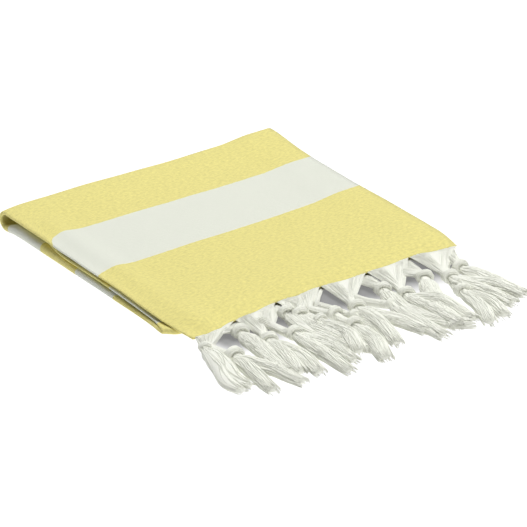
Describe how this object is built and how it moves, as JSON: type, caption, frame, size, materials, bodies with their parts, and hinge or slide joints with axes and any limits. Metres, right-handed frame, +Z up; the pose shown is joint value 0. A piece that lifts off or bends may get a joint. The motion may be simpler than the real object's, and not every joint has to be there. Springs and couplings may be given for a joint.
{
  "type": "folded hammam towel",
  "caption": "Flat-folded hammam towel of striped woven cotton with a knotted fringe spread in front of the folded cloth.",
  "frame": {"origin": "centre of the flat underside of the bottom leaf, which the towel rests on", "axes": "+X across the folded cloth from the lengthwise fold to the selvedges, +Y from the front fringe to the back fold, +Z up"},
  "size_m": [0.2657, 0.3482, 0.0165],
  "materials": {
    "striped_cloth": "plain woven cotton with crosswise stripes, slightly slubbed",
    "fringe_yarn": "loosely twisted natural cotton yarn, knotted and frayed"
  },
  "bodies": {
    "root": {"cloth": "striped_cloth", "upper_tassel_1": "fringe_yarn", "upper_tassel_2": "fringe_yarn", "upper_tassel_3": "fringe_yarn", "upper_tassel_4": "fringe_yarn", "upper_tassel_5": "fringe_yarn", "upper_tassel_6": "fringe_yarn", "lower_tassel_1": "fringe_yarn", "lower_tassel_2": "fringe_yarn", "lower_tassel_3": "fringe_yarn", "lower_tassel_4": "fringe_yarn", "lower_tassel_5": "fringe_yarn", "lower_tassel_6": "fringe_yarn", "tucked_tassel_1": "fringe_yarn", "tucked_tassel_2": "fringe_yarn", "tucked_tassel_3": "fringe_yarn", "tucked_tassel_4": "fringe_yarn", "tucked_tassel_5": "fringe_yarn", "tucked_tassel_6": "fringe_yarn", "tucked_tassel_7": "fringe_yarn", "tucked_tassel_8": "fringe_yarn", "tucked_tassel_9": "fringe_yarn", "tucked_tassel_10": "fringe_yarn", "tucked_tassel_11": "fringe_yarn", "tucked_tassel_12": "fringe_yarn"}
  },
  "joints": []
}
